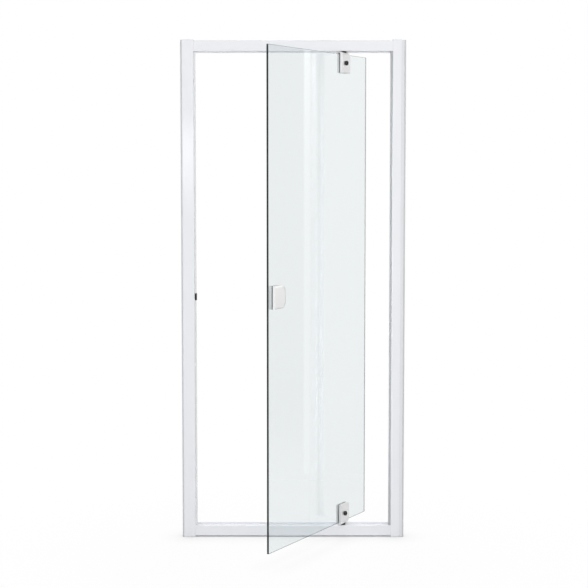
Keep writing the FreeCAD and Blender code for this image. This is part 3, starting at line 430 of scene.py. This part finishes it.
# %% Set the cards
card("streak_card", (1.298, 0.491, 1.1), -pane_view, width=0.064, height=2.4,
     top=1.80, bottom=0.93, curve=4.0)
card("haze_card", (1.216, 0.643, 1.1), -pane_view, width=0.27, height=2.8,
     top=0.92, bottom=0.66, curve=0.5)
card("plate_card", (1.37, 0.015, 1.0), (-1.0, 0.0, 0.0), width=0.53, height=1.3,
     top=2.0, bottom=0.54, blur=(0.08, 0.6))
card("shade_card", (0.80, 1.03, 1.25), (-0.5, -0.866, 0.0), width=0.62, height=1.6,
     top=0.45, bottom=0.45, blur=(0.2, 0.6))
card("side_card", (-2.6, -1.75, 1.25), pane_view, width=1.6, height=2.5,
     top=1.35, bottom=1.35, blur=(0.9, 0.9))
card("gleam_card", (-0.64, -3.0, 1.50), (0.0, 1.0, 0.0), width=0.30, height=0.42,
     top=4.6, bottom=2.0, blur=(0.26, 0.26))
card("glint_card", (1.546, -0.67, 1.5), (-0.866, 0.5, 0.0), width=0.25, height=1.2,
     top=6.5, bottom=0.0, curve=2.0, blur=(0.2, 0.3))

# %% [markdown]
# Several finishes share the same small effects, and each effect becomes a node group that is
# built once. The first is drift: no real surface has one exact tone, so a slow cloud of noise
# moves the colour and the gloss by a percent or two. It works in object coordinates, which are
# metres here, so a patch has a real size.

# %% Node group: tone drift
def new_group(name, inputs, outputs):
    """A shader node group with its named sockets, and the nodes that stand for them."""
    group = bpy.data.node_groups.new(name, "ShaderNodeTree")
    for title, kind, value in inputs:
        socket = group.interface.new_socket(title, in_out="INPUT", socket_type=kind)
        socket.default_value = value
    for title, kind in outputs:
        group.interface.new_socket(title, in_out="OUTPUT", socket_type=kind)
    return group, group.nodes.new("NodeGroupInput"), group.nodes.new("NodeGroupOutput")


FLOAT, COLOUR, VECTOR = "NodeSocketFloat", "NodeSocketColor", "NodeSocketVector"

tone_drift, given, result = new_group(
    "Tone Drift",
    [("Colour", COLOUR, grey(0.8)), ("Dark Share", FLOAT, 0.94), ("Roughness", FLOAT, 0.3),
     ("Roughness Span", FLOAT, 0.05), ("Patches per Metre", FLOAT, 6.0)],
    [("Colour", COLOUR), ("Roughness", FLOAT)])
tree = tone_drift
where = add_node(tree, "ShaderNodeTexCoord")
cloud = add_node(tree, "ShaderNodeTexNoise", {"Detail": 4.0, "Roughness": 0.55})
darker = add_node(tree, "ShaderNodeVectorMath", operation="SCALE")
blend = add_node(tree, "ShaderNodeMix", data_type="RGBA")
gloss = add_node(tree, "ShaderNodeMath", operation="MULTIPLY_ADD")
centred = add_node(tree, "ShaderNodeMath", {1: 0.5}, operation="SUBTRACT")
join(tree, where.outputs["Object"], cloud.inputs["Vector"])
join(tree, given.outputs["Patches per Metre"], cloud.inputs["Scale"])
join(tree, given.outputs["Colour"], darker.inputs[0])
join(tree, given.outputs["Dark Share"], darker.inputs["Scale"])
join(tree, cloud.outputs["Fac"], blend.inputs["Factor"])
join(tree, darker.outputs[0], blend.inputs["A"])
join(tree, given.outputs["Colour"], blend.inputs["B"])
join(tree, cloud.outputs["Fac"], centred.inputs[0])
join(tree, centred.outputs[0], gloss.inputs[0])
join(tree, given.outputs["Roughness Span"], gloss.inputs[1])
join(tree, given.outputs["Roughness"], gloss.inputs[2])
join(tree, blend.outputs["Result"], result.inputs["Colour"])
join(tree, gloss.outputs[0], result.inputs["Roughness"])
print("group", tone_drift.name, "has", len(tone_drift.nodes), "nodes")

# %% [markdown]
# The second effect is grain: the orange peel of a powder coat, the skin of moulded plastic and the
# pits of rubber are all the same cloud of noise at different sizes. The group puts out a height,
# and each material turns that into a bump with its own strength.

# %% Node group: fine grain
fine_grain, given, result = new_group(
    "Fine Grain", [("Grains per Metre", FLOAT, 800.0), ("Depth", FLOAT, 1.0)],
    [("Height", FLOAT), ("Speck", FLOAT)])
tree = fine_grain
where = add_node(tree, "ShaderNodeTexCoord")
specks = add_node(tree, "ShaderNodeTexNoise", {"Detail": 2.0, "Roughness": 0.5})
height = add_node(tree, "ShaderNodeMath", operation="MULTIPLY")
join(tree, where.outputs["Object"], specks.inputs["Vector"])
join(tree, given.outputs["Grains per Metre"], specks.inputs["Scale"])
join(tree, specks.outputs["Fac"], height.inputs[0])
join(tree, given.outputs["Depth"], height.inputs[1])
join(tree, height.outputs[0], result.inputs["Height"])
join(tree, specks.outputs["Fac"], result.inputs["Speck"])
print("group", fine_grain.name, "has", len(fine_grain.nodes), "nodes")

# %% [markdown]
# The third effect is lines: a drawn section, a polished plate and a milled block all carry fine
# lines along one direction. Noise becomes lines when the space is stretched, so the group
# multiplies the coordinates by a vector: many lines across, hardly any change along.

# %% Node group: drawn lines
drawn_lines, given, result = new_group(
    "Drawn Lines", [("Lines per Metre", VECTOR, (900.0, 900.0, 6.0)), ("Depth", FLOAT, 1.0)],
    [("Height", FLOAT), ("Line", FLOAT)])
tree = drawn_lines
where = add_node(tree, "ShaderNodeTexCoord")
stretch = add_node(tree, "ShaderNodeVectorMath", operation="MULTIPLY")
streaks = add_node(tree, "ShaderNodeTexNoise", {"Scale": 1.0, "Detail": 3.0, "Roughness": 0.6})
height = add_node(tree, "ShaderNodeMath", operation="MULTIPLY")
join(tree, where.outputs["Object"], stretch.inputs[0])
join(tree, given.outputs["Lines per Metre"], stretch.inputs[1])
join(tree, stretch.outputs[0], streaks.inputs["Vector"])
join(tree, streaks.outputs["Fac"], height.inputs[0])
join(tree, given.outputs["Depth"], height.inputs[1])
join(tree, height.outputs[0], result.inputs["Height"])
join(tree, streaks.outputs["Fac"], result.inputs["Line"])
print("group", drawn_lines.name, "has", len(drawn_lines.nodes), "nodes")

# %% [markdown]
# Every finish starts the same way: a Principled shader, the drift group for its colour and gloss,
# and one relief group with a bump. A function makes that start, so that each finish below is only
# its own numbers. Values that are the same all over go straight onto the shader's sockets.

# %% A helper for finishes
def use_group(tree, group, values):
    """One use of a node group in a material, with its own values."""
    return add_node(tree, "ShaderNodeGroup", values, node_tree=group)


def finish(name, colour, roughness, dark_share=0.95, span=0.06, patches=6.0,
           relief=fine_grain, relief_values=None, bump=0.1, bump_depth=0.0002, **sockets):
    """A material with drifting tone and gloss, a fine relief and plain values elsewhere."""
    material = bpy.data.materials.new(name)
    material.use_nodes = True
    tree = material.node_tree
    tree.nodes.clear()
    shader = add_node(tree, "ShaderNodeBsdfPrincipled", sockets)
    out = add_node(tree, "ShaderNodeOutputMaterial")
    drift = use_group(tree, tone_drift, {
        "Colour": (*colour, 1.0), "Dark Share": dark_share, "Roughness": roughness,
        "Roughness Span": span, "Patches per Metre": patches})
    surface = use_group(tree, relief, relief_values or {})
    bumps = add_node(tree, "ShaderNodeBump", {"Strength": bump, "Distance": bump_depth})
    join(tree, drift.outputs["Colour"], shader.inputs["Base Color"])
    join(tree, drift.outputs["Roughness"], shader.inputs["Roughness"])
    join(tree, surface.outputs["Height"], bumps.inputs["Height"])
    join(tree, bumps.outputs["Normal"], shader.inputs["Normal"])
    join(tree, shader.outputs["BSDF"], out.inputs["Surface"])
    return material


def dress(material, *names):
    """These solids get this material."""
    for name in names:
        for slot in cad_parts[name].material_slots:
            slot.material = material
    print(material.name, "on", ", ".join(names))


# %% [markdown]
# The frame is extruded aluminium under a glossy white powder coat. The white is a touch cool. The
# coat has the soft orange peel of baked powder, and a thin clear layer on top keeps the gleam crisp.
# The wall channel is set back and mostly covered. It has a plainer coat, painted a shade greyer,
# which stands in for the shade on its set-back face.

# %% White powder coat
white_coat = finish(
    "white_coat", colour=(0.85, 0.857, 0.892), roughness=0.34, dark_share=0.975, patches=2.5,
    relief_values={"Grains per Metre": 450.0}, bump=0.05,
    **{"Coat Weight": 1.0, "Coat Roughness": 0.06, "Specular IOR Level": 0.35})
dress(white_coat, "strike_post", "hinge_jamb", "head_rail", "sill_rail")
# painted shade: the channel's coat is greyer than the frame's white to stand in for the shade it sits
# in
painted_shade_channel = finish(
    "painted_shade_channel", colour=(0.77, 0.777, 0.808), roughness=0.42, dark_share=0.97, patches=2.5,
    relief_values={"Grains per Metre": 450.0}, bump=0.12, **{"Specular IOR Level": 0.35})
dress(painted_shade_channel, "hinge_wall_channel")

# %% [markdown]
# Caps and plugs are moulded in white plastic. It is a little warmer and duller than the paint
# beside it, which is how the eye tells a cap from the post that it closes.

# %% White plastic
white_plastic = finish(
    "white_plastic", colour=(0.83, 0.84, 0.86), roughness=0.42, dark_share=0.97, patches=40.0,
    relief_values={"Grains per Metre": 1600.0}, bump=0.15)
dress(white_plastic, "strike_post_cap", "hinge_jamb_cap", "fixing_screw_caps", "strike_post_plugs")

# %% [markdown]
# The seals are extruded in soft plastic, so they carry faint lines along their length. Those that
# the closed door strikes are pale and the strips against the walls are grey. The hinge seal is
# painted darker, which stands in for the shade on the inner side of the hinge jamb. The buffer is
# black rubber, dull and slightly pitted, and so are the nylon washers and bushes of the pivots.

# %% Seals, rubber and nylon
ALONG_HEIGHT = (1400.0, 1400.0, 5.0)
SEAL_TONES = {
    "pale_seal": ((0.85, 0.857, 0.865), ("strike_seal_upper", "strike_seal_lower")),
    "grey_seal": ((0.60, 0.61, 0.63), ("strike_wall_strip", "hinge_wall_strip")),
    # painted shade: the hinge seal's darker grey stands in for the shade on the hinge jamb's inner
    # side
    "painted_shade_seal": ((0.46, 0.47, 0.485), ("hinge_side_seal",)),
}
for name, (tone, nodes) in SEAL_TONES.items():
    seal = finish(
        name, colour=tone, roughness=0.5, relief=drawn_lines, patches=12.0,
        relief_values={"Lines per Metre": ALONG_HEIGHT}, bump=0.2)
    dress(seal, *nodes)
black_rubber = finish(
    "black_rubber", colour=(0.016, 0.016, 0.017), roughness=0.62, dark_share=0.7, patches=60.0,
    relief_values={"Grains per Metre": 1200.0}, bump=0.3)
dress(black_rubber, "strike_buffer")
black_nylon = finish(
    "black_nylon", colour=(0.02, 0.02, 0.021), roughness=0.45, dark_share=0.75, patches=60.0,
    relief_values={"Grains per Metre": 2000.0}, bump=0.2)
dress(black_nylon, "top_hinge_washer", "bottom_hinge_washer", "top_pivot_bush",
      "bottom_pivot_bush", "pull_sleeve")

# %% [markdown]
# Hinge plates and pull are bright polished plate. A mirror shows its surroundings, so most of its
# look comes from the cards; the material adds faint vertical polishing lines and a breath of haze.
# The plates inside the shower are seen through the glass. They are satin, and their darker colour is
# painted shade for their place behind the pane.

# %% Bright plates
POLISHING = (2200.0, 2200.0, 25.0)
bright_metal = finish(
    "bright_metal", colour=(0.965, 0.957, 0.957), roughness=0.34,
    dark_share=0.97, span=0.08, patches=30.0, relief=drawn_lines,
    relief_values={"Lines per Metre": POLISHING}, bump=0.06, Metallic=1.0)
dress(bright_metal, "top_hinge_outer_plate", "bottom_hinge_outer_plate", "pull_outer_plate")
# painted shade: the inner plates' darker colour stands in for the shade they lie in behind the pane
painted_shade_satin = finish(
    "painted_shade_satin", colour=(0.66, 0.656, 0.656), roughness=0.40,
    dark_share=0.96, span=0.08, patches=30.0, relief=drawn_lines,
    relief_values={"Lines per Metre": POLISHING}, bump=0.08, Metallic=1.0)
dress(painted_shade_satin, "top_hinge_inner_plate", "bottom_hinge_inner_plate", "pull_inner_plate")

# %% [markdown]
# Between plate and glass lies a thin fibre gasket, and behind it the working metal: a brass core,
# steel pins and screws, and milled aluminium blocks inside the rails. Little of it shows.

# %% Working metals and gaskets
TURNING = (30.0, 30.0, 1800.0)
DRAWING = (2500.0, 2500.0, 80.0)
MILLING = (25.0, 1500.0, 1500.0)
gasket_grey = finish(
    "gasket_grey", colour=(0.34, 0.355, 0.355), roughness=0.8, dark_share=0.8, patches=90.0,
    relief_values={"Grains per Metre": 2600.0}, bump=0.4)
dress(gasket_grey, "top_hinge_outer_gasket", "top_hinge_inner_gasket", "bottom_hinge_outer_gasket",
      "bottom_hinge_inner_gasket", "pull_outer_gasket", "pull_inner_gasket")
core_brass = finish(
    "core_brass", colour=(0.42, 0.35, 0.23), roughness=0.38,
    dark_share=0.85, patches=50.0, relief=drawn_lines,
    relief_values={"Lines per Metre": TURNING}, bump=0.15, Metallic=1.0)
dress(core_brass, "top_hinge_core", "bottom_hinge_core")
screw_steel = finish(
    "screw_steel", colour=(0.62, 0.63, 0.64), roughness=0.3,
    dark_share=0.85, patches=80.0, relief=drawn_lines,
    relief_values={"Lines per Metre": DRAWING}, bump=0.12, Metallic=1.0)
dress(screw_steel, "head_corner_screws", "sill_corner_screws", "jamb_fixing_screws",
      "top_hinge_pin", "bottom_hinge_pin")
black_screw = finish(
    "black_screw", colour=(0.03, 0.03, 0.032), roughness=0.38, dark_share=0.7, patches=120.0,
    relief_values={"Grains per Metre": 3000.0}, bump=0.15, Metallic=0.5)
dress(black_screw, "top_hinge_screw", "bottom_hinge_screw", "pull_screw")
block_metal = finish(
    "block_metal", colour=(0.7, 0.71, 0.72), roughness=0.4,
    dark_share=0.88, patches=40.0, relief=drawn_lines,
    relief_values={"Lines per Metre": MILLING}, bump=0.15, Metallic=1.0)
dress(block_metal, "top_pivot_block", "bottom_pivot_block")

# %% [markdown]
# The pane is toughened glass. Looked through, it has only a faint grey-green tint, but looked into
# from an edge the light has crossed half a metre of it, and the edge turns almost black. A volume
# shader could do that and costs many rays; here the normal decides. Object normals that point
# along the pane belong to the edges. Those get the dark colour and are matt, because they are ground.

# %% The pane's faces and edges
FACE_TINT = (0.867, 0.906, 0.915, 1.0)
EDGE_TINT = (0.004, 0.010, 0.009, 1.0)
FACE_ROUGHNESS, EDGE_ROUGHNESS = 0.0, 0.6
FACE_LIMIT = 0.9

pane = bpy.data.materials.new("pane")
pane.use_nodes = True
tree = pane.node_tree
tree.nodes.clear()
where = add_node(tree, "ShaderNodeTexCoord")
facing = add_node(tree, "ShaderNodeVectorMath", {1: pane_face}, operation="DOT_PRODUCT")
lined_up = add_node(tree, "ShaderNodeMath", operation="ABSOLUTE")
on_face = add_node(tree, "ShaderNodeMath", {1: FACE_LIMIT}, operation="GREATER_THAN")
drift = use_group(tree, tone_drift, {
    "Colour": FACE_TINT, "Dark Share": 0.985, "Patches per Metre": 1.5})
tint = add_node(tree, "ShaderNodeMix", {"A": EDGE_TINT}, data_type="RGBA")
polish = add_node(
    tree, "ShaderNodeMix", {"A": EDGE_ROUGHNESS, "B": FACE_ROUGHNESS}, data_type="FLOAT")
join(tree, where.outputs["Normal"], facing.inputs[0])
join(tree, facing.outputs["Value"], lined_up.inputs[0])
join(tree, lined_up.outputs[0], on_face.inputs[0])
join(tree, on_face.outputs[0], tint.inputs["Factor"])
join(tree, drift.outputs["Colour"], tint.inputs["B"])
join(tree, on_face.outputs[0], polish.inputs["Factor"])
print("the pane's faces are", FACE_TINT[:3], "and its edges", EDGE_TINT[:3])

# %% [markdown]
# Toughened glass has lain soft on rollers, and the drawn lines group, very wide and very shallow,
# gives the waves they leave. Soft light and shadows would need many rays to find their way through
# real glass, so a plain clear shader lets them pass. A ray crosses two faces, so each of them takes
# the square root of the tint.

# %% The pane's glass
GLASS_IOR = 1.5
ROLLER_WAVES = (0.8, 0.8, 7.0)
WAVE_STRENGTH, WAVE_DEPTH = 0.05, 0.002
CLEAR_TINT = [math.sqrt(share) for share in FACE_TINT]

rollers = use_group(tree, drawn_lines, {"Lines per Metre": ROLLER_WAVES})
waves = add_node(tree, "ShaderNodeBump", {"Strength": WAVE_STRENGTH, "Distance": WAVE_DEPTH})
glass = add_node(tree, "ShaderNodeBsdfPrincipled", {
    "IOR": GLASS_IOR, "Transmission Weight": 1.0, "Metallic": 0.0})
path = add_node(tree, "ShaderNodeLightPath")
soft = add_node(tree, "ShaderNodeMath", operation="MAXIMUM")
clear = add_node(tree, "ShaderNodeBsdfTransparent", {"Color": CLEAR_TINT})
lets_light = add_node(tree, "ShaderNodeMixShader")
out = add_node(tree, "ShaderNodeOutputMaterial")
join(tree, tint.outputs["Result"], glass.inputs["Base Color"])
join(tree, polish.outputs["Result"], glass.inputs["Roughness"])
join(tree, rollers.outputs["Height"], waves.inputs["Height"])
join(tree, waves.outputs["Normal"], glass.inputs["Normal"])
join(tree, path.outputs["Is Shadow Ray"], soft.inputs[0])
join(tree, path.outputs["Is Diffuse Ray"], soft.inputs[1])
join(tree, soft.outputs[0], lets_light.inputs[0])
join(tree, glass.outputs["BSDF"], lets_light.inputs[1])
join(tree, clear.outputs[0], lets_light.inputs[2])
join(tree, lets_light.outputs[0], out.inputs["Surface"])
dress(pane, "door_glass")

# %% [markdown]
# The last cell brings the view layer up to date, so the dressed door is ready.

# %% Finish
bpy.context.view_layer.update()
